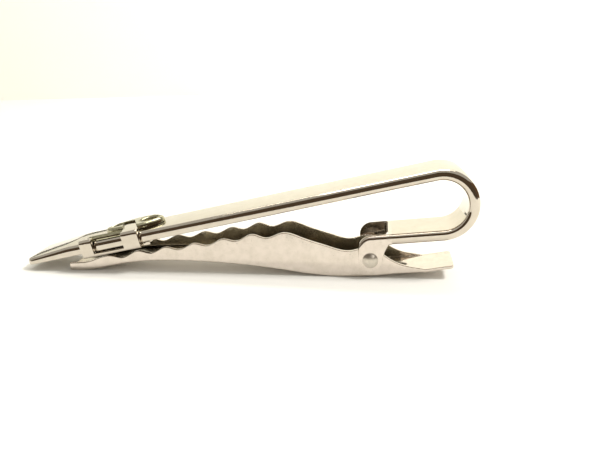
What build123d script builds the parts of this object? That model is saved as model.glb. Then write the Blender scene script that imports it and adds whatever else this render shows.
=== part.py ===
"""Alligator-jaw tie clip with a slide-on pierced ornament.

A thick plated strip forms the front bar, turns through a U-bend and comes back as a short
return leg. A fork at the end of the leg carries a rivet, and a toothed channel jaw rocks on
the rivet against a torsion spring. A sheet slide wraps the front bar near its tip and carries
a grooved rail and a pierced oval.

Frame: +X runs from the tip of the bar to the bend, +Z is up, and Y = 0 is the plane of
symmetry of the bar and the jaw. The clip lies on Z = 0 on the end and the belly of its jaw,
and X = 0 is halfway along it. Lengths are in millimetres and angles in degrees.
"""

import os
from math import asin, atan2, cos, degrees, hypot, radians, sin, tan

from build123d import *

# ---------------------------------------------------------------- driving dimensions
clip_length = 57.0

# front bar, U-bend and return leg: one strip
bar_width = 6.3
bar_thickness = 1.3
bar_slope = 12.5
leg_slope = 5.5
bend_radius = 3.0            # inside the bend
bend_height = 9.25           # centre of the bend above the table
outer_edge_radius = 0.46     # along the outer edges of the strip
inner_edge_radius = 0.3      # along the edges inside the bend
tip_taper_length = 6.0
tip_thickness = 0.8
tip_corner_radius = 0.9

# fork on the end of the leg, and the rivet; lengths "from tip" are along X
pivot_from_tip = 44.5
pivot_height = 2.43
fork_end_from_tip = 47.0     # where the fork's plate meets the leg
ear_end_from_tip = 46.5      # where the full ears end behind
fork_sheet = 0.45
fork_lobe_radius = 1.45      # round the rivet
fork_brow_radius = 1.6       # upper corner that faces the tip
fork_edge_radius = 0.2
fork_corner_radius = 0.5      # inside corners between the ears and the plate, in plan
rivet_diameter = 1.3
rivet_head_diameter = 1.9
rivet_head_height = 0.34
rivet_dome_point = (0.78, 0.58)    # on the dome, as shares of the head's radius and height
running_gap = 0.05           # between parts that move on each other

# jaw: one channel of sheet
jaw_sheet = 0.4
jaw_start_from_tip = 5.7
jaw_end_from_tip = 54.4
jaw_heel_radius = 0.3        # along the two lower edges
jaw_foot_length = 1.2        # flat end that rests on the table
jaw_tip_height = 0.98
belly_from_tip = 41.2        # lowest point of the belly
belly_radius = 38.0
belly_reach = 5.6            # half the length of the belly's arc
tail_corner_radius = 0.45
# places along the jaw's outline: (distance from the tip, height)
front_underside = ((13.0, 1.02), (21.0, 1.58), (29.5, 1.17))
tail_underside = (50.6, 0.78)
tail_end_height = 1.4
tail_end_slope = 0.12
wall_rise = (8.6, 1.32)      # top of the walls before the first tooth
wall_behind_teeth = (
    (36.2, 4.95),
    (39.3, 3.95),
    (42.2, 3.42),
    (44.6, 3.86),
    (46.4, 2.72),
    (48.2, 1.78),
    (50.4, 1.36),
    (51.8, 1.15),
)
first_tooth_from_tip = 11.5
tooth_pitch = 3.7
tooth_depth = 0.55
tooth_root_share = 0.45      # of the pitch, from a crest to the root behind it
tooth_crests = (2.12, 2.85, 3.42, 3.98, 4.62, 5.28, 5.52)

# torsion spring on the rivet
spring_wire = 0.4
spring_radius = 1.0          # to the middle of the wire
spring_pitch = 0.46
spring_turns = 4
spring_arm_reach = 4.4       # along X, from the rivet to the end of each arm
spring_seat_height = 0.64    # underside of the jaw where the lower arm ends

# slide: sheet wrapped round the front bar; places are distances along the bar from its tip
slide_sheet = 0.5
slide_web_gap = 0.08         # daylight between the bar and the web of the slide
slide_fold_radius = 0.6      # outside of the folds over the top of the bar
claw_end = 2.85              # Y of the ends of the claws that the folds carry
slide_heel_radius = 0.45     # outside of the folds under the bar
left_tab_start = 8.3
left_tab_end = 9.95
right_tab_start = 14.1
right_tab_end = 16.3
tongue_length = 0.9          # web that shows beyond the right-hand tabs
tongue_width = 5.4
strap_end = 1.3              # Y of the far end of the strap
strap_end_start = 12.7
strap_end_width = 1.5
far_left_tab_height = 1.0    # this tab stops below the top of the bar and has no claw

# ornament on the slide
# outline of the oval, and its openings: places along the bar and across it
oval_outline = (
    (10.6, 0.2),
    (11.3, 1.2),
    (12.6, 2.1),
    (14.3, 2.75),
    (15.9, 2.7),
    (17.3, 2.2),
    (18.3, 1.3),
    (18.6, 0.4),
    (18.3, -0.4),
    (17.3, -1.15),
    (16.2, -1.5),
    (15.0, -1.5),
    (13.6, -1.25),
    (12.2, -0.95),
    (11.1, -0.5),
)
oval_height = 0.7
oval_edge_radius = 0.15
right_opening = (16.6, 0.65, 1.3, 0.95)    # along the bar, Y, half length, half width
left_opening = (12.1, 0.55, 0.85, 0.5)
rail_start = 8.9
rail_end = 15.0
rail_width = 1.25
rail_height = 0.42
rail_groove_count = 3
rail_groove_depth = 0.12

# ---------------------------------------------------------------- derived places
half_length = clip_length / 2
half_width = bar_width / 2
bend_x = half_length - bend_radius - bar_thickness
pivot_x = pivot_from_tip - half_length
fork_x = fork_end_from_tip - half_length
ear_x = ear_end_from_tip - half_length
jaw_width = bar_width - 2 * (fork_sheet + running_gap)
jaw_inner_width = jaw_width - 2 * jaw_sheet

bar_along = Vector(cos(radians(bar_slope)), 0, sin(radians(bar_slope)))
bar_normal = Vector(-sin(radians(bar_slope)), 0, cos(radians(bar_slope)))
leg_normal = Vector(sin(radians(leg_slope)), 0, -cos(radians(leg_slope)))

# the inside of the strip: front run, bend, leg
bend_centre = Vector(bend_x, 0, bend_height)
bend_turn = 180 + bar_slope - leg_slope
under_bend = bend_centre + bar_normal * bend_radius
tip_lean = (tip_thickness - outer_edge_radius) * sin(radians(bar_slope)) + outer_edge_radius * (
    1 - cos(radians(bar_slope))
)                            # how far the rounded end of the tip leans out past its lower edge
bar_run = (under_bend.X + half_length - tip_lean) / bar_along.X
bar_tip = under_bend - bar_along * bar_run
leg_start = bend_centre + leg_normal * bend_radius
bar_plane = Plane(origin=bar_tip, x_dir=bar_along, z_dir=bar_normal)

# the slide's section, in Y and in height above the underside of the bar
slide_inner_half = half_width + running_gap
slide_outer_half = slide_inner_half + slide_sheet
slide_web_top = -slide_web_gap
slide_web_bottom = slide_web_top - slide_sheet
deck = bar_thickness + running_gap
slide_top = deck + slide_sheet
beyond = 20.0                # longer than anything that it cuts


def in_side_view(vector):
    """A place in the XZ plane as sketch coordinates on Plane.XZ."""
    return (vector.X, vector.Z)


def from_tip(distance, height):
    """Sketch coordinates on Plane.XZ of a place given by its distance from the tip."""
    return (distance - half_length, height)


def leg_top(x):
    """Height of the upper face of the return leg."""
    return leg_start.Z + (x - leg_start.X) * tan(radians(leg_slope))


def leg_underside(x):
    """Height of the lower face of the return leg."""
    return leg_top(x) - bar_thickness / cos(radians(leg_slope))


def bar_section(distance):
    """Plane square to the bar: sketch X is Y, sketch Y is height above the bar's underside."""
    return Plane(origin=bar_tip + bar_along * distance, x_dir=(0, 1, 0), z_dir=bar_along)


def on_side_faces(edge, half):
    """True for an edge that lies in one of the two faces Y = +half and Y = -half."""
    box = edge.bounding_box()
    return abs(abs(box.min.Y) - half) < 1e-4 and abs(box.max.Y - box.min.Y) < 1e-4


def finish(builder, label):
    """Label a finished piece and write its STEP file."""
    builder.part.label = label
    export_step(builder.part, f"parts/{label}.step")


os.makedirs("parts", exist_ok=True)

# ---------------------------------------------------------------- front bar
with BuildPart() as front_bar:
    with BuildSketch(Plane.XZ):
        with BuildLine():
            inside = CenterArc(in_side_view(bend_centre), bend_radius, 90 + bar_slope, -bend_turn)
            outside = CenterArc(
                in_side_view(bend_centre), bend_radius + bar_thickness, 90 + bar_slope, -bend_turn
            )
            Polyline(
                inside @ 1,
                (fork_x, leg_top(fork_x)),
                (fork_x, leg_underside(fork_x)),
                outside @ 1,
            )
            Polyline(
                inside @ 0,
                in_side_view(bar_tip),
                in_side_view(bar_tip + bar_normal * tip_thickness),
                in_side_view(bar_tip + bar_along * tip_taper_length + bar_normal * bar_thickness),
                outside @ 0,
            )
        make_face()
    extrude(amount=half_width, both=True)
    # the tip's corners in plan, then all the long edges
    tip_corners = front_bar.edges().filter_by(
        lambda edge: edge.center().X < tip_corner_radius - half_length
        and on_side_faces(edge, half_width)
        and edge.length < bar_thickness
    )
    fillet(tip_corners, tip_corner_radius)
    for arc_radius, edge_radius in (
        (bend_radius + bar_thickness, outer_edge_radius),
        (bend_radius, inner_edge_radius),
    ):
        bend_arcs = front_bar.edges().filter_by(GeomType.CIRCLE).filter_by(
            lambda edge: abs(edge.radius - arc_radius) < 1e-4 and on_side_faces(edge, half_width)
        )
        fillet(bend_arcs, edge_radius)
finish(front_bar, "front_bar")

# ---------------------------------------------------------------- hinge fork
brow_x = pivot_x - fork_lobe_radius + fork_brow_radius
brow_height = leg_top(brow_x) - fork_brow_radius / cos(radians(leg_slope))
with BuildPart() as hinge_fork:
    # both ears as one block: the hull of the lobe, the brow and the end of the leg
    with BuildSketch(Plane.XZ):
        with Locations((pivot_x, pivot_height)):
            Circle(fork_lobe_radius)
        with Locations((brow_x, brow_height)):
            Circle(fork_brow_radius)
        with Locations((ear_x - fork_sheet / 2, leg_top(ear_x) - bar_thickness / 2)):
            Rectangle(fork_sheet, bar_thickness)
        make_hull()
        Polygon(
            (brow_x, leg_top(brow_x)),
            (fork_x, leg_top(fork_x)),
            (fork_x, leg_underside(fork_x)),
            (brow_x, leg_underside(brow_x)),
            align=None,
        )
    extrude(amount=half_width, both=True)
    ear_edges = hinge_fork.edges().filter_by(
        lambda edge: on_side_faces(edge, half_width) and edge.center().X < fork_x - 1e-3
    )
    fillet(ear_edges, fork_edge_radius)
    # room for the jaw between the ears, leaving the plate that meets the leg
    with BuildSketch(Plane.XZ):
        with BuildLine():
            Polyline(
                (fork_x - beyond, pivot_height - beyond),
                (fork_x + 1, pivot_height - beyond),
                (fork_x + 1, leg_underside(fork_x)),
                (fork_x - fork_sheet, leg_underside(fork_x)),
                (fork_x - fork_sheet, pivot_height + beyond),
                (fork_x - beyond, pivot_height + beyond),
                close=True,
            )
        make_face()
    extrude(amount=half_width - fork_sheet, both=True, mode=Mode.SUBTRACT)
    window_corners = hinge_fork.edges().filter_by(Axis.Z).filter_by(
        lambda edge: abs(edge.center().X - fork_x + fork_sheet) < 1e-4
        and on_side_faces(edge, half_width - fork_sheet)
    )
    fillet(window_corners, fork_corner_radius)
    with BuildSketch(Plane.XZ):
        with Locations((pivot_x, pivot_height)):
            Circle(rivet_diameter / 2)
    extrude(amount=half_width, both=True, mode=Mode.SUBTRACT)
finish(hinge_fork, "hinge_fork")

# ---------------------------------------------------------------- rivet
with BuildPart() as pivot_rivet:
    # half a section in the XY plane, turned about the pivot line
    with BuildSketch(Plane.XY.offset(pivot_height)):
        head_radius = rivet_head_diameter / 2
        with BuildLine():
            dome_top = (pivot_x, half_width + rivet_head_height)
            dome_edge = (pivot_x + head_radius, half_width)
            dome_side = (
                pivot_x + head_radius * rivet_dome_point[0],
                half_width + rivet_head_height * rivet_dome_point[1],
            )
            ThreePointArc(dome_top, dome_side, dome_edge)
            Polyline(
                dome_edge,
                (pivot_x + rivet_diameter / 2, half_width),
                (pivot_x + rivet_diameter / 2, 0),
                (pivot_x, 0),
                dome_top,
            )
        make_face()
    revolve(axis=Axis((pivot_x, 0, pivot_height), (0, 1, 0)))
    mirror(about=Plane.XZ)
finish(pivot_rivet, "pivot_rivet")

# ---------------------------------------------------------------- jaw
belly_x = belly_from_tip - half_length
belly_turn = degrees(asin(belly_reach / belly_radius))
foot_end = jaw_start_from_tip + jaw_foot_length


def jaw_underside(lift):
    """Draw the lower line of the jaw, lifted by a height, from the tip to the tail."""
    belly = CenterArc(
        (belly_x, belly_radius + lift), belly_radius, 270 - belly_turn, 2 * belly_turn
    )
    foot = Line(from_tip(jaw_start_from_tip, lift), from_tip(foot_end, lift))
    Spline(
        foot @ 1,
        *(from_tip(distance, height + lift) for distance, height in front_underside),
        belly @ 0,
        tangents=(foot % 1, belly % 0),
    )
    tail = Spline(
        belly @ 1,
        from_tip(tail_underside[0], tail_underside[1] + lift),
        from_tip(jaw_end_from_tip, tail_end_height + lift),
        tangents=(belly % 1, (1, tail_end_slope)),
    )
    return foot @ 0, tail @ 1


with BuildPart() as jaw:
    # floor of the channel, from the foot to the end of the thumb tail
    with BuildSketch(Plane.XZ):
        with BuildLine():
            low_start, low_end = jaw_underside(0)
            high_start, high_end = jaw_underside(jaw_sheet)
            Line(low_start, high_start)
            Line(low_end, high_end)
        make_face()
    extrude(amount=jaw_width / 2, both=True)
    # side walls: toothed as far as the last crest, then down, over the lug and to the tail
    with BuildSketch(Plane.XZ):
        with BuildLine():
            wall_start, wall_end = jaw_underside(jaw_sheet / 2)
            toothed = []
            for i, crest in enumerate(tooth_crests):
                crest_place = first_tooth_from_tip + i * tooth_pitch
                toothed.append(from_tip(crest_place, crest))
                if i + 1 < len(tooth_crests):
                    root = (crest + tooth_crests[i + 1]) / 2 - tooth_depth
                    toothed.append(from_tip(crest_place + tooth_pitch * tooth_root_share, root))
            wall_top = Spline(
                from_tip(jaw_start_from_tip, jaw_tip_height),
                from_tip(*wall_rise),
                *toothed,
                *(from_tip(*place) for place in wall_behind_teeth),
            )
            Line(wall_start, wall_top @ 0)
            Line(wall_top @ 1, wall_end)
        make_face()
    extrude(amount=jaw_width / 2, both=True)
    # the inside of the channel
    with BuildSketch(Plane.XZ):
        with BuildLine():
            inner_start, inner_end = jaw_underside(jaw_sheet)
            Polyline(
                inner_start,
                (inner_start.X, beyond),
                (inner_end.X, beyond),
                inner_end,
            )
        make_face()
    extrude(amount=jaw_inner_width / 2, both=True, mode=Mode.SUBTRACT)
    # bore for the rivet
    with BuildSketch(Plane.XZ):
        with Locations((pivot_x, pivot_height)):
            Circle(rivet_diameter / 2 + running_gap)
    extrude(amount=jaw_width / 2, both=True, mode=Mode.SUBTRACT)
    # corners of the tail in plan, then the two heels of the channel
    tail_corners = jaw.edges().filter_by(
        lambda edge: edge.center().X > low_end.X - 0.1 and on_side_faces(edge, jaw_width / 2)
        and edge.length < jaw_sheet * 1.1
    )
    fillet(tail_corners, tail_corner_radius)
    belly_edges = jaw.edges().filter_by(GeomType.CIRCLE).filter_by(
        lambda edge: abs(edge.radius - belly_radius) < 1e-4 and on_side_faces(edge, jaw_width / 2)
    )
    fillet(belly_edges, jaw_heel_radius)
finish(jaw, "jaw")

# ---------------------------------------------------------------- torsion spring


def arm_angle(height, side):
    """Slope of the arm that leaves the coil on one side (+1 above) and ends at a height."""
    slope = degrees(atan2(height, spring_arm_reach))
    return slope - side * degrees(asin(spring_radius / hypot(height, spring_arm_reach)))


arm_end_x = pivot_x + spring_arm_reach
upper_end = leg_underside(arm_end_x) - spring_wire / 2 - running_gap - pivot_height
lower_end = spring_seat_height + jaw_sheet + spring_wire / 2 + running_gap - pivot_height
upper_angle = arm_angle(upper_end, 1)
lower_angle = arm_angle(lower_end, -1)
coil_turn = 360 * spring_turns + 180 + lower_angle - upper_angle
coil_length = spring_pitch * coil_turn / 360
coil_axis = Axis((pivot_x, 0, pivot_height), (0, -1, 0))
with BuildPart() as torsion_spring:
    # the helix starts below the rivet, so it is turned to meet the upper arm
    with BuildLine():
        wound = Helix(
            pitch=spring_pitch,
            height=coil_length,
            radius=spring_radius,
            center=(pivot_x, coil_length / 2, pivot_height),
            direction=(0, -1, 0),
            mode=Mode.PRIVATE,
        )
        coil = wound.rotate(coil_axis, 180 + upper_angle)
        add(coil)
    with BuildSketch(Plane(origin=coil @ 0, z_dir=coil % 0)):
        Circle(spring_wire / 2)
    sweep(path=coil, is_frenet=True)
    # straight arms, tangent to the two ends of the coil
    for end, angle in ((coil @ 0, upper_angle), (coil @ 1, lower_angle)):
        arm_direction = Vector(cos(radians(angle)), 0, sin(radians(angle)))
        arm_length = (arm_end_x - end.X) / arm_direction.X
        with BuildSketch(Plane(origin=end, z_dir=arm_direction)):
            Circle(spring_wire / 2)
        extrude(amount=arm_length)
finish(torsion_spring, "torsion_spring")

# ---------------------------------------------------------------- slide


def sketch_strap(stretch=0.0):
    """Sketch the tapered strap across the bar, with its right-hand edge moved along the bar."""
    Polygon(
        (right_tab_start, -claw_end),
        (right_tab_end + stretch, -claw_end),
        (strap_end_start + strap_end_width + stretch, strap_end),
        (strap_end_start, strap_end),
        align=None,
    )


with BuildPart() as slide_carrier:
    # sheet wrapped all round the bar
    with BuildSketch(bar_section(left_tab_start)) as wrap:
        with Locations((0, (slide_web_bottom + slide_top) / 2)):
            Rectangle(2 * slide_outer_half, slide_top - slide_web_bottom)
        fillet(wrap.vertices().group_by(Axis.Y)[-1], slide_fold_radius)
        fillet(wrap.vertices().group_by(Axis.Y)[0], slide_heel_radius)
        with Locations((0, (slide_web_top + deck) / 2)):
            Rectangle(2 * slide_inner_half, deck - slide_web_top, mode=Mode.SUBTRACT)
        inner_corners = wrap.vertices().filter_by(
            lambda corner: abs(corner.Y - deck) < 1e-4 and abs(corner.X) < slide_inner_half + 1e-4
        )
        fillet(inner_corners, slide_fold_radius - slide_sheet)
    extrude(amount=right_tab_end - left_tab_start)
    # windows between the tabs, and the open top between the claws
    with BuildSketch(bar_plane.offset(slide_web_top)):
        with Locations(((left_tab_end + right_tab_start) / 2, 0)):
            Rectangle(right_tab_start - left_tab_end, beyond)
    extrude(amount=beyond, mode=Mode.SUBTRACT)
    with BuildSketch(bar_plane):
        with Locations(((left_tab_start + right_tab_end) / 2, 0)):
            Rectangle(right_tab_end - left_tab_start, 2 * claw_end)
    extrude(amount=beyond, mode=Mode.SUBTRACT)
    with BuildSketch(bar_plane.offset(far_left_tab_height)):
        with Locations(((left_tab_start + left_tab_end) / 2, slide_outer_half)):
            Rectangle(left_tab_end - left_tab_start, slide_outer_half)
    extrude(amount=beyond, mode=Mode.SUBTRACT)
    # tongue of the web beyond the right-hand tabs
    with BuildSketch(bar_plane.offset(slide_web_bottom)):
        with Locations((right_tab_end + tongue_length / 2, 0)):
            Rectangle(tongue_length, tongue_width)
    extrude(amount=slide_sheet)
    # strap from the near right-hand tab across the bar
    with BuildSketch(bar_plane.offset(deck)):
        sketch_strap()
    extrude(amount=slide_sheet)
finish(slide_carrier, "slide_carrier")

# ---------------------------------------------------------------- grooved rail
rail_middle = rail_width / 2 - claw_end
with BuildPart() as grooved_rail:
    with BuildSketch(bar_plane.offset(deck)):
        with Locations(((rail_start + rail_end) / 2, rail_middle)):
            Rectangle(rail_end - rail_start, rail_width)
    extrude(amount=rail_height)
    # grooves along the rail
    groove_step = rail_width / (rail_groove_count + 1)
    with BuildSketch(bar_section(rail_start)):
        for i in range(rail_groove_count):
            groove_place = rail_middle - rail_width / 2 + (i + 1) * groove_step
            with Locations((groove_place, deck + rail_height)):
                Rectangle(groove_step * 0.5, 2 * rail_groove_depth)
    extrude(amount=rail_end - rail_start, mode=Mode.SUBTRACT)
    # trimmed to the slanted edge of the strap
    with BuildSketch(bar_plane.offset(deck)):
        sketch_strap(stretch=beyond)
    extrude(amount=rail_height, mode=Mode.SUBTRACT)
finish(grooved_rail, "grooved_rail")

# ---------------------------------------------------------------- pierced oval
with BuildPart() as pierced_oval:
    with BuildSketch(bar_plane.offset(deck)):
        with BuildLine():
            Spline(*oval_outline, periodic=True)
        make_face()
        for along, across, half_long, half_wide in (right_opening, left_opening):
            with Locations((along, across)):
                Ellipse(half_long, half_wide, mode=Mode.SUBTRACT)
    extrude(amount=oval_height)
    rim = pierced_oval.faces().filter_by(bar_plane).sort_by(Axis.Z)[-1].edges()
    fillet(rim, oval_edge_radius)
    with BuildSketch(bar_plane.offset(deck)):
        sketch_strap()
    extrude(amount=oval_height, mode=Mode.SUBTRACT)
finish(pierced_oval, "pierced_oval")
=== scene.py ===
import math

import bmesh
import bpy
from mathutils import Matrix, Vector


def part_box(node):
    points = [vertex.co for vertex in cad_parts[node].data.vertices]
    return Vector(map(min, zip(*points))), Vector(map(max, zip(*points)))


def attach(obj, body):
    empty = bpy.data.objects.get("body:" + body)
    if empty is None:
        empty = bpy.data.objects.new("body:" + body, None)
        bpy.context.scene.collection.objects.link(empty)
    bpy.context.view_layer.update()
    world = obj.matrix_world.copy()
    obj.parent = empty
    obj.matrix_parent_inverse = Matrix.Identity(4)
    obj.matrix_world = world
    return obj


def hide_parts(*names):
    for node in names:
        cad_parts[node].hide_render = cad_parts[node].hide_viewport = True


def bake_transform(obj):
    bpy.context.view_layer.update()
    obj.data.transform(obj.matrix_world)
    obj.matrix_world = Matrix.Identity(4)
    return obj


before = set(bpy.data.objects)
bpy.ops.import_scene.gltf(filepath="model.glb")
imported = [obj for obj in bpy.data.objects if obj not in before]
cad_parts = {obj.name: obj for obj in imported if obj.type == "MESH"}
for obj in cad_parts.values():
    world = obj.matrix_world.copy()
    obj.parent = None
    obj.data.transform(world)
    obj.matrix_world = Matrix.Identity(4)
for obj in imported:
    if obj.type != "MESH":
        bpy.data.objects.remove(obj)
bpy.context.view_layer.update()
MM = 0.001

# ---------------------------------------------------------------- camera
CAMERA_PLACE = Vector((17.13, -71.52, 28.73)) * MM
right = Vector((0.9912452, 0.1292857, -0.0267991))
down = Vector((0.0138608, -0.3037435, -0.9526530))
fwd = Vector((-0.1313045, 0.9439413, -0.3028763))
cam_data = bpy.data.cameras.new("camera")
camera = bpy.data.objects.new("camera", cam_data)
bpy.context.scene.collection.objects.link(camera)
m = Matrix((right, -down, -fwd)).transposed().to_4x4()
m.translation = CAMERA_PLACE
camera.matrix_world = m
cam_data.sensor_width = 36.0
cam_data.lens = 36.36
cam_data.clip_start = 0.002
cam_data.clip_end = 20.0
bpy.context.scene.camera = camera

view = bpy.context.scene.view_settings
view.view_transform = "Standard"
view.exposure = 0.0


# ---------------------------------------------------------------- mesh helpers
def add_object(name, me):
    o = bpy.data.objects.new(name, me)
    bpy.context.scene.collection.objects.link(o)
    return o


def smooth(me, angle=35):
    for p in me.polygons:
        p.use_smooth = True
    me.set_sharp_from_angle(angle=math.radians(angle))


def finish_mesh(name, bm, materials, angle=35):
    """Turn a closed bmesh skin in mm into an object in metres."""
    bmesh.ops.recalc_face_normals(bm, faces=bm.faces)
    bmesh.ops.scale(bm, vec=(MM, MM, MM), verts=bm.verts)
    me = bpy.data.meshes.new(name)
    bm.to_mesh(me)
    bm.free()
    for mat in materials:
        me.materials.append(mat)
    smooth(me, angle)
    return add_object(name, me)


def skin(bm, loops, inside=(), inside_end=0):
    """Add a closed skin through loops of equal length; faces inside, up to a loop, take slot 1."""
    rings = [[bm.verts.new(p) for p in loop] for loop in loops]
    count = len(rings[0])
    for n, (a, b) in enumerate(zip(rings, rings[1:])):
        for i in range(count):
            j = (i + 1) % count
            face = bm.faces.new((a[i], a[j], b[j], b[i]))
            if i in inside and n < inside_end:
                face.material_index = 1
    bm.faces.new(rings[0][::-1])
    bm.faces.new(rings[-1])


def loft(name, loops, *materials, inside=(), inside_end=0):
    bm = bmesh.new()
    skin(bm, loops, inside, inside_end)
    return finish_mesh(name, bm, materials)


def lathe(name, profile, centre, material, segments=72):
    """A turned piece: profile of (radius, Y) from one end to the other, round the Y axis."""
    bm = bmesh.new()
    angles = [2 * math.pi * i / segments for i in range(segments)]
    loops = [
        [centre + Vector((r * math.cos(a), y, r * math.sin(a))) for a in angles]
        for r, y in profile
    ]
    skin(bm, loops)
    return finish_mesh(name, bm, [material], 60)


def spread(low, high, count):
    return [low + (high - low) * i / (count - 1) for i in range(count)]


def clamped_spline(points, slope_start, slope_end):
    """A smooth height over x through the points, with those slopes at its ends."""
    xs = [p[0] for p in points]
    zs = [p[1] for p in points]
    n = len(xs)
    h = [xs[i + 1] - xs[i] for i in range(n - 1)]
    lower, diag, upper, rhs = [0.0] * n, [1.0] * n, [0.0] * n, [0.0] * n
    rhs[0], rhs[-1] = slope_start, slope_end
    for i in range(1, n - 1):
        lower[i] = h[i]
        diag[i] = 2 * (h[i - 1] + h[i])
        upper[i] = h[i - 1]
        rhs[i] = 3 * (
            h[i] * (zs[i] - zs[i - 1]) / h[i - 1] + h[i - 1] * (zs[i + 1] - zs[i]) / h[i]
        )
    for i in range(1, n):
        k = lower[i] / diag[i - 1]
        diag[i] -= k * upper[i - 1]
        rhs[i] -= k * rhs[i - 1]
    slopes = [0.0] * n
    slopes[-1] = rhs[-1] / diag[-1]
    for i in range(n - 2, -1, -1):
        slopes[i] = (rhs[i] - upper[i] * slopes[i + 1]) / diag[i]

    def height(x):
        k = 0
        while k < n - 2 and x > xs[k + 1]:
            k += 1
        t = (x - xs[k]) / h[k]
        a, b = zs[k], zs[k + 1]
        da, db = slopes[k] * h[k], slopes[k + 1] * h[k]
        return (
            (2 * t**3 - 3 * t**2 + 1) * a
            + (t**3 - 2 * t**2 + t) * da
            + (-2 * t**3 + 3 * t**2) * b
            + (t**3 - t**2) * db
        )

    return height


# ---------------------------------------------------------------- materials
def new_material(name):
    mat = bpy.data.materials.new(name)
    mat.use_nodes = True
    return mat, mat.node_tree.nodes, mat.node_tree.links


def emission(name, colour, strength):
    mat, nodes, links = new_material(name)
    nodes.clear()
    out = nodes.new("ShaderNodeOutputMaterial")
    em = nodes.new("ShaderNodeEmission")
    em.inputs["Color"].default_value = (*colour, 1)
    em.inputs["Strength"].default_value = strength
    links.new(em.outputs[0], out.inputs[0])
    return mat


def plating(name, colour, shade, rough_low, rough_high, cloud=900.0, scratch=0.05, pits=0.0):
    """Plated metal: clouded colour and gloss, fine wiping scratches and, if asked for, pits."""
    mat, nodes, links = new_material(name)
    bsdf = nodes["Principled BSDF"]
    bsdf.inputs["Metallic"].default_value = 1.0
    place = nodes.new("ShaderNodeTexCoord")
    clouds = nodes.new("ShaderNodeTexNoise")
    clouds.inputs["Scale"].default_value = cloud
    clouds.inputs["Detail"].default_value = 6.0
    clouds.inputs["Roughness"].default_value = 0.6
    links.new(place.outputs["Object"], clouds.inputs["Vector"])
    ramp = nodes.new("ShaderNodeValToRGB")
    ramp.color_ramp.elements[0].position = 0.3
    ramp.color_ramp.elements[0].color = (*shade, 1)
    ramp.color_ramp.elements[1].position = 0.62
    ramp.color_ramp.elements[1].color = (*colour, 1)
    links.new(clouds.outputs["Fac"], ramp.inputs["Fac"])
    links.new(ramp.outputs["Color"], bsdf.inputs["Base Color"])
    rough = nodes.new("ShaderNodeMapRange")
    rough.inputs["From Min"].default_value = 0.3
    rough.inputs["From Max"].default_value = 0.7
    rough.inputs["To Min"].default_value = rough_high
    rough.inputs["To Max"].default_value = rough_low
    links.new(clouds.outputs["Fac"], rough.inputs["Value"])
    links.new(rough.outputs["Result"], bsdf.inputs["Roughness"])
    # wiping scratches: noise drawn out along the clip
    stretch = nodes.new("ShaderNodeMapping")
    stretch.inputs["Scale"].default_value = (0.06, 1.0, 1.0)
    links.new(place.outputs["Object"], stretch.inputs["Vector"])
    fine = nodes.new("ShaderNodeTexNoise")
    fine.inputs["Scale"].default_value = 16000.0
    fine.inputs["Detail"].default_value = 3.0
    links.new(stretch.outputs["Vector"], fine.inputs["Vector"])
    bump = nodes.new("ShaderNodeBump")
    bump.inputs["Strength"].default_value = scratch
    bump.inputs["Distance"].default_value = 0.00002
    links.new(fine.outputs["Fac"], bump.inputs["Height"])
    last = bump
    if pits:
        cells = nodes.new("ShaderNodeTexVoronoi")
        cells.inputs["Scale"].default_value = 2600.0
        links.new(place.outputs["Object"], cells.inputs["Vector"])
        spots = nodes.new("ShaderNodeMapRange")
        spots.inputs["From Min"].default_value = 0.02
        spots.inputs["From Max"].default_value = 0.16
        links.new(cells.outputs["Distance"], spots.inputs["Value"])
        dents = nodes.new("ShaderNodeBump")
        dents.inputs["Strength"].default_value = pits
        dents.inputs["Distance"].default_value = 0.00003
        links.new(spots.outputs["Result"], dents.inputs["Height"])
        links.new(bump.outputs["Normal"], dents.inputs["Normal"])
        last = dents
    links.new(last.outputs["Normal"], bsdf.inputs["Normal"])
    return mat


PLATE = (0.63, 0.575, 0.50)
PLATE_SHADE = (0.58, 0.525, 0.445)
bar_plating = plating("bar_plating", PLATE, PLATE_SHADE, 0.035, 0.07)
sheet_plating = plating(
    "sheet_plating", (0.70, 0.63, 0.565), (0.62, 0.56, 0.49), 0.07, 0.17, 1300.0, 0.12, 0.25
)
slide_plating = plating("slide_plating", PLATE, PLATE_SHADE, 0.05, 0.10, 1500.0, 0.08)
ornament_plating = plating(
    "ornament_plating", (0.50, 0.475, 0.34), (0.27, 0.25, 0.15), 0.06, 0.16, 1700.0, 0.1
)
# painted shade: a darker clouded colour for the inside of the jaw's channel, where shade falls in the
# recess
inside_painted_shade = plating("inside_painted_shade", (0.58, 0.53, 0.44), (0.22, 0.195, 0.145), 0.12, 0.30, 420.0, 0.1)
rivet_steel = plating("rivet_steel", (0.66, 0.61, 0.53), (0.56, 0.515, 0.44), 0.28, 0.38, 3000.0, 0.15)
spring_steel = plating("spring_steel", (0.34, 0.32, 0.28), (0.20, 0.18, 0.15), 0.22, 0.38, 2600.0, 0.3)

# ---------------------------------------------------------------- stage


def paper(name, colour, shade):
    """Matt paper with a faint mottle."""
    mat, nodes, links = new_material(name)
    bsdf = nodes["Principled BSDF"]
    bsdf.inputs["Roughness"].default_value = 0.9
    bsdf.inputs["Specular IOR Level"].default_value = 0.2
    place = nodes.new("ShaderNodeTexCoord")
    mottle = nodes.new("ShaderNodeTexNoise")
    mottle.inputs["Scale"].default_value = 14.0
    links.new(place.outputs["Object"], mottle.inputs["Vector"])
    ramp = nodes.new("ShaderNodeValToRGB")
    ramp.color_ramp.elements[0].color = (*shade, 1)
    ramp.color_ramp.elements[1].color = (*colour, 1)
    links.new(mottle.outputs["Fac"], ramp.inputs["Fac"])
    links.new(ramp.outputs["Color"], bsdf.inputs["Base Color"])
    return mat


floor_paper = paper("floor_paper", (0.93, 0.92, 0.89), (0.91, 0.90, 0.87))
backdrop_paper = paper("backdrop_paper", (0.92, 0.915, 0.85), (0.90, 0.895, 0.83))


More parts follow.
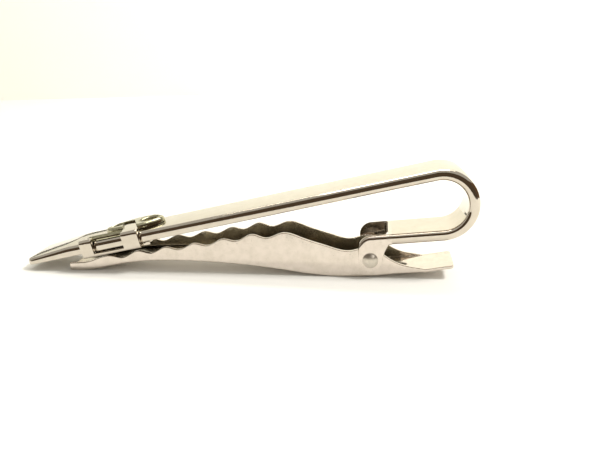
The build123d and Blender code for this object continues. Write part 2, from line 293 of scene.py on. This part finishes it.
def quad(name, corners, mat):
    me = bpy.data.meshes.new(name)
    me.from_pydata([Vector(c) * MM for c in corners], [], [(0, 1, 2, 3)])
    me.materials.append(mat)
    o = add_object(name, me)
    return o


quad("floor", [(-900, -900, 0), (900, -900, 0), (900, 900, 0), (-900, 900, 0)], floor_paper)
quad("backdrop", [(-700, 150, 0), (700, 330, 0), (700, 345, 190), (-700, 165, 190)], backdrop_paper)


def card(name, corners, colour, strength):
    """A studio card that shows only in reflections."""
    o = quad(name, corners, emission(name, colour, strength))
    o.visible_camera = False
    o.visible_diffuse = False
    o.visible_shadow = False
    return o


card(
    "dark_front", [(-160, -52, 1), (120, -52, 1), (120, -80, 75), (-160, -80, 75)],
    (0.10, 0.07, 0.045), 1.0,
)
card(
    "brown_right", [(120, -90, 4), (170, 60, 4), (170, 60, 70), (120, -90, 70)],
    (0.16, 0.09, 0.05), 1.0,
)
card(
    "dark_back", [(-120, 70, 0.5), (1, 70, 0.5), (1, 70, 4), (-120, 70, 4)],
    (0.10, 0.10, 0.07), 1.0,
)

world = bpy.data.worlds.new("room")
bpy.context.scene.world = world
world.use_nodes = True
world.node_tree.nodes["Background"].inputs["Color"].default_value = (0.58, 0.56, 0.51, 1)
world.node_tree.nodes["Background"].inputs["Strength"].default_value = 1.0


def area(name, place, target, size_x, size_y, power, colour):
    d = bpy.data.lights.new(name, "AREA")
    d.shape = "RECTANGLE"
    d.size, d.size_y = size_x * MM, size_y * MM
    d.energy = power
    d.color = colour
    o = bpy.data.objects.new(name, d)
    bpy.context.scene.collection.objects.link(o)
    place = Vector(place) * MM
    target = Vector(target) * MM
    o.location = place
    o.rotation_euler = (target - place).to_track_quat("-Z", "Y").to_euler()
    return o


overhead = area("overhead", (0, 40, 420), (0, 10, 0), 300, 260, 1.1, (1.0, 0.97, 0.92))
overhead.visible_diffuse = False
key = area("key", (230, -15, 300), (0, 0, 0), 80, 80, 1.05, (1.0, 0.98, 0.94))
key.visible_glossy = False
area("back_wash", (0, 90, 260), (0, 240, 60), 300, 60, 0.42, (1.0, 0.97, 0.86))

# ---------------------------------------------------------------- the clip's own sizes, mm
LENGTH = 57.0
HALF = LENGTH / 2
WIDTH = 6.3
THICK = 1.3
BAR_SLOPE = math.radians(12.5)
LEG_SLOPE = math.radians(5.5)
BEND_RADIUS = 3.0
BEND_X = HALF - BEND_RADIUS - THICK
BEND_Z = 9.25
along = Vector((math.cos(BAR_SLOPE), 0, math.sin(BAR_SLOPE)))
normal = Vector((-math.sin(BAR_SLOPE), 0, math.cos(BAR_SLOPE)))
leg_normal = Vector((math.sin(LEG_SLOPE), 0, -math.cos(LEG_SLOPE)))
bend_centre = Vector((BEND_X, 0, BEND_Z))
under_bend = bend_centre + normal * BEND_RADIUS
TIP_THICK = 0.8
TIP_TAPER = 6.0
TIP_ROUND = 0.95
TIP_LOW_EDGE, TIP_HIGH_EDGE = 0.18, 0.28
TIP_INSET = 0.1
# the sides' crown is slighter near the tip and grows to full further along
WORN_AT_TIP, WORN_FROM, WORN_OVER = 0.3, 22, 24
PIVOT = Vector((44.5 - HALF, 0, 2.43))
FORK_X = 47.0 - HALF
SHEET = 0.4

# the strip's sides: how far in Y, and over what share of the thickness, they round over
REACH_OUT, CROWN_OUT = 0.5, 0.6
REACH_IN, CROWN_IN = 0.5, 0.4

# the bar's tip ends where the CAD bar ends
bar_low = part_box("front_bar")[0].x / MM
RUN = (under_bend.x - bar_low) / along.x - TIP_INSET
tip = under_bend - along * RUN
leg_start = bend_centre + leg_normal * BEND_RADIUS


def side_curve(half, low, high, thick, worn, steps=9):
    """Right half of the strip's section, bottom to top: (Y, height) with crowned sides."""
    squash = (high - low) / thick
    points = []
    for i in range(steps + 1):
        t = math.radians(-90 + 90 * i / steps)
        rise = CROWN_IN * worn * thick * (1 + math.sin(t))
        points.append((half - REACH_IN * worn * (1 - math.cos(t)), low + rise * squash))
    for i in range(1, steps + 1):
        t = math.radians(90 * i / steps)
        rise = (1 - CROWN_OUT + CROWN_OUT * math.sin(t)) * thick
        points.append((half - REACH_OUT * (1 - math.cos(t)), low + rise * squash))
    return points


def strip_loop(place, out, half, low, high, thick, worn=1.0):
    side = side_curve(half, low, high, thick, worn)
    ring = [(y, n) for y, n in side] + [(-y, n) for y, n in reversed(side)]
    return [place + Vector((0, y, 0)) + out * n for y, n in ring]


def tip_size(s):
    """Half width, lowest and highest height of the strip at a distance from its tip."""
    thick = TIP_THICK + (THICK - TIP_THICK) * min(1.0, s / TIP_TAPER)
    half = WIDTH / 2
    if s < TIP_ROUND:
        half -= TIP_ROUND - math.sqrt(TIP_ROUND**2 - (TIP_ROUND - s) ** 2)
    low, high = 0.0, thick
    if s < TIP_LOW_EDGE:
        low += TIP_LOW_EDGE - math.sqrt(TIP_LOW_EDGE**2 - (TIP_LOW_EDGE - s) ** 2)
    if s < TIP_HIGH_EDGE:
        high -= TIP_HIGH_EDGE - math.sqrt(TIP_HIGH_EDGE**2 - (TIP_HIGH_EDGE - s) ** 2)
    return half, low, high, thick


bar_stations = sorted(
    {round(TIP_HIGH_EDGE * (1 - math.cos(math.radians(a))), 4) for a in range(0, 91, 15)}
    | {round(TIP_ROUND * (1 - math.cos(math.radians(a))), 4) for a in range(0, 91, 9)}
    | {2.4, 3.0, 4.0, 5.0, 5.8, 6.2}
    | {7.0 + i * (RUN - 7.0) / 40 for i in range(40)}
)
loops = []
for s in bar_stations:
    grown = min(1.0, max(0.0, (s - WORN_FROM) / WORN_OVER))
    worn = WORN_AT_TIP + (1 - WORN_AT_TIP) * grown
    loops.append(strip_loop(tip + along * s, normal, *tip_size(s), worn))
turn = math.pi + BAR_SLOPE - LEG_SLOPE
for i in range(73):
    a = math.pi / 2 + BAR_SLOPE - turn * i / 72
    out = Vector((math.cos(a), 0, math.sin(a)))
    loops.append(strip_loop(bend_centre + out * BEND_RADIUS, out, WIDTH / 2, 0.0, THICK, THICK))
leg_length = (leg_start.x - FORK_X) / math.cos(LEG_SLOPE)
back_along = Vector((-math.cos(LEG_SLOPE), 0, -math.sin(LEG_SLOPE)))
for i in range(1, 13):
    place = leg_start + back_along * leg_length * i / 12
    loops.append(strip_loop(place, leg_normal, WIDTH / 2, 0.0, THICK, THICK))
# the sawn end is square to the table, where the fork's plate meets it
loops[-1] = [Vector((FORK_X, p.y, p.z)) for p in loops[-1]]
front_bar = loft("front_bar_strip", loops, bar_plating)
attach(front_bar, "bar")
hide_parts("front_bar")

# ---------------------------------------------------------------- jaw
JAW_HALF = WIDTH / 2 - 0.5
JAW_START, JAW_END = 5.7, 54.4
BELLY, BELLY_R, BELLY_REACH = 41.2, 38.0, 5.6
FOOT_END = JAW_START + 1.2
WALL_END = 51.8
FRONT_ROUND, TAIL_ROUND = 0.12, 0.45
# largest rounding outside at the heel, along the wall's edge and in the inside corner
HEEL_R, EDGE_R, WELL_R = 0.3, 0.07, 0.2
LEAST_WALL = 0.012
HEEL_POINTS, ARC_POINTS = 6, 5
FIRST_CREST, TOOTH_PITCH, ROOT_SHARE, TOOTH_DEPTH = 11.5, 3.7, 0.45, 0.55
belly_rise = BELLY_R - math.sqrt(BELLY_R**2 - BELLY_REACH**2)
belly_slope = BELLY_REACH / math.sqrt(BELLY_R**2 - BELLY_REACH**2)
front_low = clamped_spline(
    [(FOOT_END, 0.0), (13.0, 1.02), (21.0, 1.58), (29.5, 1.17), (BELLY - BELLY_REACH, belly_rise)],
    0.0, -belly_slope,
)
tail_low = clamped_spline(
    [(BELLY + BELLY_REACH, belly_rise), (50.6, 0.78), (JAW_END, 1.4)], belly_slope, 0.12
)


def jaw_low(d):
    """Height of the jaw's underside at a distance from the clip's tip."""
    if d <= FOOT_END:
        return 0.0
    if d < BELLY - BELLY_REACH:
        return max(0.0, front_low(d))
    if d < BELLY + BELLY_REACH:
        return BELLY_R - math.sqrt(BELLY_R**2 - (d - BELLY) ** 2)
    return tail_low(d)


crests = (2.12, 2.85, 3.42, 3.98, 4.62, 5.28, 5.52)
wall = [(JAW_START, 0.98), (8.6, 1.32)]
for i, crest in enumerate(crests):
    d = FIRST_CREST + i * TOOTH_PITCH
    wall.append((d, crest))
    if i + 1 < len(crests):
        wall.append((d + TOOTH_PITCH * ROOT_SHARE, (crest + crests[i + 1]) / 2 - TOOTH_DEPTH))
wall += [
    (36.2, 4.95), (39.3, 3.95), (42.2, 3.42), (44.6, 3.86),
    (46.4, 2.72), (48.2, 1.78), (50.4, 1.36), (WALL_END, 1.15),
]
wall_top = clamped_spline(wall, 0.1, -0.1)


def jaw_ring(d):
    """The channel's section at a distance from the tip: outside up, over the edge, inside down."""
    low = jaw_low(d)
    floor_top = low + SHEET
    top = wall_top(d) if d < WALL_END else low
    top = max(top, floor_top + LEAST_WALL)
    half = JAW_HALF
    if d > JAW_END - TAIL_ROUND:
        half -= TAIL_ROUND - math.sqrt(max(0.0, TAIL_ROUND**2 - (d - JAW_END + TAIL_ROUND) ** 2))
    if d < JAW_START + FRONT_ROUND:
        half -= FRONT_ROUND - math.sqrt(max(0.0, FRONT_ROUND**2 - (JAW_START + FRONT_ROUND - d) ** 2))
    rise = top - low
    heel = min(HEEL_R, rise * 0.45)
    edge = min(EDGE_R, rise * 0.3)
    inner = half - SHEET
    well = min(WELL_R, (top - floor_top) * 0.45)
    side = []
    for i in range(HEEL_POINTS):  # lower heel
        t = math.radians(-90 + 18 * i)
        side.append((half - heel + heel * math.cos(t), low + heel + heel * math.sin(t)))
    for i in range(ARC_POINTS):   # outer edge of the top
        t = math.radians(22.5 * i)
        side.append((half - edge + edge * math.cos(t), top - edge + edge * math.sin(t)))
    in_edge = min(edge, (top - floor_top) * 0.45)
    for i in range(ARC_POINTS):   # inner edge of the top
        t = math.radians(90 + 22.5 * i)
        side.append((inner + in_edge + in_edge * math.cos(t), top - in_edge + in_edge * math.sin(t)))
    for i in range(ARC_POINTS):   # inside corner
        t = math.radians(-22.5 * i)
        side.append((inner - well + well * math.cos(t), floor_top + well + well * math.sin(t)))
    ring = side + [(-y, z) for y, z in reversed(side)]
    return [(d - HALF, y, z) for y, z in ring]


ds = (
    [JAW_START + FRONT_ROUND * (1 - math.cos(math.radians(a))) for a in range(0, 90, 15)]
    + spread(JAW_START + 0.14, JAW_END - 0.46, 320)
    + [JAW_END - TAIL_ROUND * (1 - math.cos(math.radians(a))) for a in range(80, -1, -10)]
)
ds = sorted(set(round(d, 4) for d in ds))
# the faces from the top of one wall's inside, over the floor, to the top of the other's
SIDE_POINTS = HEEL_POINTS + 3 * ARC_POINTS
FIRST_INSIDE = HEEL_POINTS + ARC_POINTS + 2
INNER_FACES = range(FIRST_INSIDE, 2 * SIDE_POINTS - 1 - FIRST_INSIDE)
# the channel's inside faces, up to this distance from the tip, take the painted shade material
INSIDE_SHADE_END = 48.2
jaw = loft(
    "jaw_channel", [jaw_ring(d) for d in ds], sheet_plating, inside_painted_shade,
    inside=INNER_FACES, inside_end=sum(1 for d in ds if d < INSIDE_SHADE_END),
)
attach(jaw, "jaw")
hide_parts("jaw")


# ---------------------------------------------------------------- hinge fork
FORK_SHEET = 0.45
LOBE = 1.45
BROW = 1.6
EAR_X = 46.6 - HALF
CORNER = 0.5
CROWN_DEPTH = CROWN_IN * THICK
FINE_EDGE = 0.03
FOOT_FADE = 0.35
# points of the ear's outline along the leg, round the brow and down the front
TOP_POINTS, BROW_POINTS, FRONT_POINTS = 26, 34, 10
LAST_CROWN = TOP_POINTS + BROW_POINTS + FRONT_POINTS
FADE_POINTS = 30


def leg_top(x):
    return leg_start.z + (x - leg_start.x) * math.tan(LEG_SLOPE)


def leg_under(x):
    return leg_top(x) - THICK / math.cos(LEG_SLOPE)


def ear_outline():
    """The ear from the top of the fork's plate, forward round the brow and lobe, and back."""
    brow = Vector((PIVOT.x - LOBE + BROW, 0, 0))
    brow.z = leg_top(brow.x) - BROW / math.cos(LEG_SLOPE)
    points = []
    for x in spread(FORK_X, brow.x - BROW * math.sin(LEG_SLOPE) + 0.05, TOP_POINTS):
        points.append((x, leg_top(x)))
    for a in spread(math.radians(92) + LEG_SLOPE, math.pi, BROW_POINTS):
        points.append((brow.x + BROW * math.cos(a), brow.z + BROW * math.sin(a)))
    for z in spread(brow.z - 0.15, PIVOT.z + 0.1, FRONT_POINTS):
        points.append((PIVOT.x - LOBE, z))
    for a in spread(math.pi, 2 * math.pi + math.radians(6), 46):
        points.append((PIVOT.x + LOBE * math.cos(a), PIVOT.z + LOBE * math.sin(a)))
    foot = Vector((PIVOT.x + LOBE, 0, PIVOT.z + 0.25))
    knee = Vector((EAR_X - 0.02, 0, leg_under(EAR_X) - 0.02))
    for t in spread(0.1, 1.0, 12):
        bow = 0.06 * math.sin(math.pi * t)
        points.append((foot.x + (knee.x - foot.x) * t - bow, foot.z + (knee.z - foot.z) * t))
    for x in spread(EAR_X + 0.06, FORK_X, 6):
        points.append((x, leg_under(x)))
    return points


ear = ear_outline()
COUNT = len(ear)


def ear_ring(y, turn):
    """The ear's outline drawn in by its crown; turn is 0 on the outer face and 90 inside."""
    t = math.radians(turn)
    ring = []
    for i, (x, z) in enumerate(ear):
        ax, az = ear[max(0, i - 1)]
        bx, bz = ear[min(COUNT - 1, i + 1)]
        tx, tz = bx - ax, bz - az
        size = math.hypot(tx, tz)
        nx, nz = tz / size, -tx / size
        # full crown along the top, fading over the brow to a fine edge round the lobe
        fade = min(1.0, max(0.0, (LAST_CROWN - i) / FADE_POINTS))
        fade = fade * fade * (3 - 2 * fade)
        if x > EAR_X and i > LAST_CROWN:
            fade = FOOT_FADE
        depth = FINE_EDGE + (CROWN_DEPTH - FINE_EDGE) * fade
        cut = depth * (1 - math.sin(t))
        if i == 0 or i == COUNT - 1:
            nx, nz = 0.0, (1.0 if i == 0 else -1.0)
        ring.append((x - nx * cut, y, z - nz * cut))
    return ring


def window_ring(y):
    """The fork's plate between the ears, its front face rounded into them in plan."""
    gap = WIDTH / 2 - FORK_SHEET - abs(y)
    front = FORK_X - FORK_SHEET
    if gap < CORNER:
        front -= CORNER - math.sqrt(max(0.0, CORNER**2 - (CORNER - gap) ** 2))
    first = next(i for i in range(COUNT) if ear[i][0] < front)
    last = next(i for i in range(COUNT - 1, -1, -1) if ear[i][0] < front)
    ring = []
    for i, (x, z) in enumerate(ear):
        if i < first or i > last:
            ring.append((x, y, z))
        else:
            share = (i - first) / (last - first)
            ring.append((front, y, leg_top(front) + share * (leg_under(front) - leg_top(front))))
    return ring


outer_y = [(WIDTH / 2 - FORK_SHEET * (1 - math.cos(math.radians(a))), a) for a in range(0, 91, 9)]
inner = WIDTH / 2 - FORK_SHEET
plate_y = [-inner + CORNER * (1 - math.cos(math.radians(a))) for a in range(0, 91, 10)]
rings = [ear_ring(-y, a) for y, a in outer_y]
rings += [window_ring(y) for y in plate_y]
rings += [window_ring(-y) for y in reversed(plate_y)]
rings += [ear_ring(y, a) for y, a in reversed(outer_y)]
fork = loft("hinge_fork_sheet", rings, sheet_plating)
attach(fork, "bar")
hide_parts("hinge_fork")

# ---------------------------------------------------------------- rivet
HEAD_R, HEAD_H, HEAD_RIM = 0.95, 0.3, 0.03
SHANK_R = 0.65
DOME_POWER = 2.2
dome = []
for i in range(1, 19):
    r = HEAD_R * math.sin(math.radians(5 * i))
    share = r / HEAD_R
    dome.append((r, WIDTH / 2 + HEAD_RIM + (HEAD_H - HEAD_RIM) * (1 - share**DOME_POWER)))
dome.append((HEAD_R, WIDTH / 2))
profile = [(r, -y) for r, y in dome]
profile += [(SHANK_R, -WIDTH / 2), (SHANK_R, WIDTH / 2)]
profile += list(reversed(dome))
rivet = lathe("rivet_domed", profile, PIVOT, rivet_steel)
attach(rivet, "bar")
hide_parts("pivot_rivet")
# a small light that falls on the rivet only
near_head = tuple(PIVOT - Vector((0, 3.4, 0)))
glint = area("rivet_glint", (33.5, -46, 20), near_head, 9, 8, 0.0016, (1.0, 0.98, 0.94))
glint_on = bpy.data.collections.new("glint_on")
glint_on.objects.link(rivet)
glint.light_linking.receiver_collection = glint_on

# ---------------------------------------------------------------- torsion spring
WIRE, COIL_R, PITCH, TURNS, ARM_X = 0.2, 1.0, 0.46, 4, 4.4
WIRE_SIDES, ARM_STEPS, COIL_STEPS = 12, 8, 200
END_SHARE = 0.7
upper, lower = math.radians(10.8), math.radians(-2.0)
sweep_turn = 2 * math.pi * TURNS + math.pi + lower - upper
coil_y = PITCH * sweep_turn / (2 * math.pi)
start_a = math.pi / 2 + upper
top_y = coil_y / 2


def coil_point(t):
    a = start_a + sweep_turn * t
    return PIVOT + Vector((COIL_R * math.cos(a), top_y - coil_y * t, COIL_R * math.sin(a)))


up_dir = Vector((math.cos(upper), 0, math.sin(upper)))
low_dir = Vector((math.cos(lower), 0, math.sin(lower)))
first, last = coil_point(0.0), coil_point(1.0)
up_len = (PIVOT.x + ARM_X - first.x) / up_dir.x
low_len = (PIVOT.x + ARM_X - last.x) / low_dir.x
path = [first + up_dir * up_len * (1 - i / ARM_STEPS) for i in range(ARM_STEPS)]
path += [coil_point(i / COIL_STEPS) for i in range(COIL_STEPS + 1)]
path += [last + low_dir * low_len * (i + 1) / ARM_STEPS for i in range(ARM_STEPS)]
tube = []
side = Vector((0, 1, 0))
for i, p in enumerate(path):
    run = (path[min(len(path) - 1, i + 1)] - path[max(0, i - 1)]).normalized()
    across = (side - run * side.dot(run)).normalized()
    third = run.cross(across)
    radius = WIRE * (END_SHARE if i in (0, len(path) - 1) else 1.0)
    angles = [2 * math.pi * k / WIRE_SIDES for k in range(WIRE_SIDES)]
    tube.append([p + (across * math.cos(a) + third * math.sin(a)) * radius for a in angles])
spring = loft("spring_wire", tube, spring_steel)
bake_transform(spring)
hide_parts("torsion_spring")

# ---------------------------------------------------------------- slide
SLIDE_SHEET = 0.5
WEB_TOP = -0.08
WEB_LOW = WEB_TOP - SLIDE_SHEET
DECK = THICK + 0.05
SLIDE_TOP = DECK + SLIDE_SHEET
SLIDE_IN = WIDTH / 2 + 0.05
SLIDE_OUT = SLIDE_IN + SLIDE_SHEET
FOLD = 0.53
HEEL = 0.45
CLAW = 2.85
STRAP_Y = 1.3
LEFT_TAB = (8.3, 9.95)
RIGHT_TAB = (14.1, 16.3)
TONGUE_END = 17.2
TONGUE_HALF = 2.7
STRAP_END = (12.7, 14.2)
FAR_TAB_TOP = 1.0
WEB_MID = 1.35
HEEL_STEPS = 6
SHEET_EDGE = 0.05


def on_bar(s, y, n):
    return tip + along * s + Vector((0, y, 0)) + normal * n


def arc(cy, cn, r, a0, a1, count):
    angles = [math.radians(v) for v in spread(a0, a1, count)]
    return [(cy + r * math.cos(a), cn + r * math.sin(a)) for a in angles]


# the sheet's outside and inside, from the far end of the strap, round under the bar
wrap_out = [(y, SLIDE_TOP) for y in spread(STRAP_Y, -CLAW, 8)]
wrap_in = [(y, DECK) for y in spread(STRAP_Y, -CLAW, 8)]
STRAP_KEYS = len(wrap_out) - 1
near_out = arc(-SLIDE_OUT + FOLD, SLIDE_TOP - FOLD, FOLD, 90, 180, 9)
FOLD_IN = FOLD - SLIDE_SHEET
near_in = arc(-SLIDE_IN + FOLD_IN, DECK - FOLD_IN, FOLD_IN, 90, 180, 9)
near_out += [(-SLIDE_OUT, n) for n in spread(SLIDE_TOP - FOLD, WEB_LOW + HEEL, 5)[1:]]
near_in += [(-SLIDE_IN, n) for n in spread(DECK - FOLD_IN, WEB_TOP, 5)[1:]]
WEB_FIRST = len(wrap_out) + len(near_out) - 1
heel_out = arc(-SLIDE_OUT + HEEL, WEB_LOW + HEEL, HEEL, 180, 270, HEEL_STEPS + 1)[1:]
heel_in = [(-SLIDE_IN + 0.04 * (i + 1), WEB_TOP) for i in range(HEEL_STEPS)]
near_out += heel_out + [(y, WEB_LOW) for y in (-TONGUE_HALF, -WEB_MID)]
near_in += heel_in + [(y, WEB_TOP) for y in (-TONGUE_HALF, -WEB_MID)]
TONGUE_FIRST = len(wrap_out) + len(near_out) - 2
far_out = [(-y, n) for y, n in reversed(near_out)]
far_in = [(-y, n) for y, n in reversed(near_in)]
wrap_out += near_out + [(0.0, WEB_LOW)] + far_out + [(CLAW, SLIDE_TOP)]
wrap_in += near_in + [(0.0, WEB_TOP)] + far_in + [(CLAW, DECK)]
KEYS = len(wrap_out)
MIDDLE = (STRAP_KEYS + KEYS) // 2
WEB_LAST = KEYS - 1 - (WEB_FIRST - STRAP_KEYS)
TONGUE_LAST = KEYS - 1 - (TONGUE_FIRST - STRAP_KEYS)
slide_stations = sorted(
    set(spread(LEFT_TAB[0], LEFT_TAB[1], 4) + spread(LEFT_TAB[1], RIGHT_TAB[0], 5)
        + spread(RIGHT_TAB[0], RIGHT_TAB[1], 5) + spread(RIGHT_TAB[1], TONGUE_END, 3))
)


def place_s(s, k):
    """Place along the bar of a station; on the strap it follows the slanted edges."""
    if k >= STRAP_KEYS or not RIGHT_TAB[0] <= s <= RIGHT_TAB[1]:
        return s
    share = (s - RIGHT_TAB[0]) / (RIGHT_TAB[1] - RIGHT_TAB[0])
    lean = 1 - k / STRAP_KEYS
    left = RIGHT_TAB[0] + (STRAP_END[0] - RIGHT_TAB[0]) * lean
    right_edge = RIGHT_TAB[1] + (STRAP_END[1] - RIGHT_TAB[1]) * lean
    return left + (right_edge - left) * share


def in_sheet(i, k):
    """Is there sheet between stations i and i+1 and between places k and k+1 of the wrap?"""
    s = (slide_stations[i] + slide_stations[i + 1]) / 2
    if LEFT_TAB[0] < s < LEFT_TAB[1]:
        return STRAP_KEYS <= k and not (k > MIDDLE and wrap_out[k + 1][1] > FAR_TAB_TOP)
    if LEFT_TAB[1] < s < RIGHT_TAB[0]:
        return WEB_FIRST <= k < WEB_LAST
    if s < RIGHT_TAB[1]:
        return True
    return TONGUE_FIRST <= k < TONGUE_LAST


bm = bmesh.new()
verts = {}


def vert(i, k, outer):
    key = (i, k, outer)
    if key not in verts:
        y, n = (wrap_out if outer else wrap_in)[k]
        verts[key] = bm.verts.new(on_bar(place_s(slide_stations[i], k), y, n))
    return verts[key]


cells = {(i, k) for i in range(len(slide_stations) - 1) for k in range(KEYS - 1) if in_sheet(i, k)}
for i, k in sorted(cells):
    corners = [(i, k), (i + 1, k), (i + 1, k + 1), (i, k + 1)]
    bm.faces.new([vert(a, b, True) for a, b in corners])
    bm.faces.new([vert(a, b, False) for a, b in reversed(corners)])
    neighbours = [(i, k - 1), (i + 1, k), (i, k + 1), (i - 1, k)]
    for n, other in enumerate(neighbours):
        if other not in cells:
            a, b = corners[n], corners[(n + 1) % 4]
            bm.faces.new([vert(*b, True), vert(*a, True), vert(*a, False), vert(*b, False)])
bmesh.ops.recalc_face_normals(bm, faces=bm.faces)
sharp = [e for e in bm.edges if len(e.link_faces) == 2 and e.calc_face_angle(0) > math.radians(50)]
bmesh.ops.bevel(bm, geom=sharp, offset=SHEET_EDGE, segments=2, profile=0.5, affect="EDGES")
slide = finish_mesh("slide_sheet", bm, [slide_plating])
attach(slide, "ornament")
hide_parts("slide_carrier")

# ---------------------------------------------------------------- grooved rail
RAIL = (8.9, 15.0)
RAIL_W, RAIL_H, GROOVE = 1.25, 0.42, 0.14
RIBS = 4
RAIL_STEPS = 48
RAIL_RIM = 0.03
rail_top = []
for i in range(RAIL_STEPS + 1):
    share = i / RAIL_STEPS
    y = -CLAW + RAIL_W * share
    wave = 0.5 - 0.5 * math.cos(2 * RIBS * math.pi * share)
    rim = min(1.0, min(share, 1 - share) / RAIL_RIM)
    rail_top.append((y, DECK + (RAIL_H - GROOVE * (1 - wave)) * (0.75 + 0.25 * rim)))
rail_section = [(-CLAW, DECK)] + rail_top + [(-CLAW + RAIL_W, DECK)]


def strap_left(y):
    share = (y + CLAW) / (STRAP_Y + CLAW)
    return RIGHT_TAB[0] + (STRAP_END[0] - RIGHT_TAB[0]) * share


RAIL_ENDS = (
    (0.0, 0.1), (0.01, 0.03), (0.025, 0.0), (0.3, 0.0), (0.6, 0.0), (0.97, 0.0), (1.0, 0.03),
)
rail_loops = []
for share, low_by in RAIL_ENDS:
    ring = []
    for y, n in rail_section:
        s = RAIL[0] + (strap_left(y) - RAIL[0]) * share
        ring.append(on_bar(s, y, n if n == DECK else n - low_by))
    rail_loops.append(ring)
rail = loft("rail_ribs", rail_loops, ornament_plating)
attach(rail, "ornament")
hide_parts("grooved_rail")

# ---------------------------------------------------------------- pierced oval
OVAL_H = 0.7
RIM = 0.45
OUTLINE = (
    (10.6, 0.2), (11.3, 1.2), (12.6, 2.1), (14.3, 2.75), (15.9, 2.7), (17.3, 2.2), (18.3, 1.3),
    (18.6, 0.4), (18.3, -0.4), (17.3, -1.15), (16.2, -1.5), (15.0, -1.5), (13.6, -1.25),
    (12.2, -0.95), (11.1, -0.5),
)


def oval_edge(count=96):
    """A closed smooth curve through the outline, with its outward direction at each point."""
    n = len(OUTLINE)
    points = []
    for i in range(count):
        place = i * n / count
        k = int(place)
        t = place - k
        a, b, c, d = (OUTLINE[(k + m) % n] for m in (-1, 0, 1, 2))
        point, way = [], []
        for q in range(2):
            p0, p1, p2, p3 = a[q], b[q], c[q], d[q]
            c1, c2, c3 = p2 - p0, 2 * p0 - 5 * p1 + 4 * p2 - p3, 3 * p1 - p0 - 3 * p2 + p3
            point.append(p1 + 0.5 * t * (c1 + t * (c2 + t * c3)))
            way.append(0.5 * (c1 + t * (2 * c2 + 3 * t * c3)))
        size = math.hypot(*way)
        points.append((point[0], point[1], -way[1] / size, way[0] / size))
    return points


def inset_edge(inset):
    return [(s - ns * inset, y - ny * inset) for s, y, ns, ny in oval_edge()]


oval_loops = [[on_bar(s, y, DECK) for s, y in inset_edge(0.0)]]
for a in range(0, 91, 10):
    t = math.radians(a)
    height = DECK + OVAL_H - RIM * (1 - math.sin(t))
    edge = inset_edge(RIM * (1 - math.cos(t)))
    oval_loops.append([on_bar(s, y, height) for s, y in edge])
oval = loft("oval_pierced", oval_loops, ornament_plating)
OPENINGS = ((16.6, 0.65, 1.3, 0.95), (12.1, 0.55, 0.85, 0.5))
FLARE = 0.34
STRAP_ROOM = 0.03
OPENING_SIDES = 48
strap_shape = (
    (RIGHT_TAB[0], -CLAW),
    (RIGHT_TAB[1], -CLAW),
    (STRAP_END[1] + STRAP_ROOM, STRAP_Y + STRAP_ROOM),
    (STRAP_END[0] - STRAP_ROOM, STRAP_Y + STRAP_ROOM),
)
strap_loops = [[on_bar(s, y, n) for s, y in strap_shape] for n in (DECK - 0.4, DECK + 1.5)]
# the strap's cutter comes first: the exact solver leaves a closed oval in this order
cutters = [loft("cutter_strap", strap_loops, ornament_plating)]
levels = [(DECK - 0.3, 0.0), (DECK + OVAL_H - FLARE, 0.0)]
for a in (18, 36, 54, 72, 88):
    t = math.radians(a)
    levels.append((DECK + OVAL_H - FLARE * (1 - math.sin(t)), FLARE * (1 - math.cos(t))))
levels.append((DECK + OVAL_H + 0.5, FLARE))
angles = [2 * math.pi * i / OPENING_SIDES for i in range(OPENING_SIDES)]
for index, (cs, cy, half_s, half_y) in enumerate(OPENINGS):
    cutter_loops = []
    for n, grow in levels:
        wide, deep = half_s + grow, half_y + grow
        cutter_loops.append([on_bar(cs + wide * math.cos(a), cy + deep * math.sin(a), n) for a in angles])
    cutters.append(loft("cutter%d" % index, cutter_loops, ornament_plating))
for cutter in cutters:
    cut = oval.modifiers.new("opening", "BOOLEAN")
    cut.operation = "DIFFERENCE"
    cut.solver = "EXACT"
    cut.object = cutter
evaluated = oval.evaluated_get(bpy.context.evaluated_depsgraph_get())
pierced = bpy.data.meshes.new_from_object(evaluated)
oval.modifiers.clear()
oval.data = pierced
smooth(pierced, 40)
for cutter in cutters:
    bpy.data.objects.remove(cutter)
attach(oval, "ornament")
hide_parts("pierced_oval")
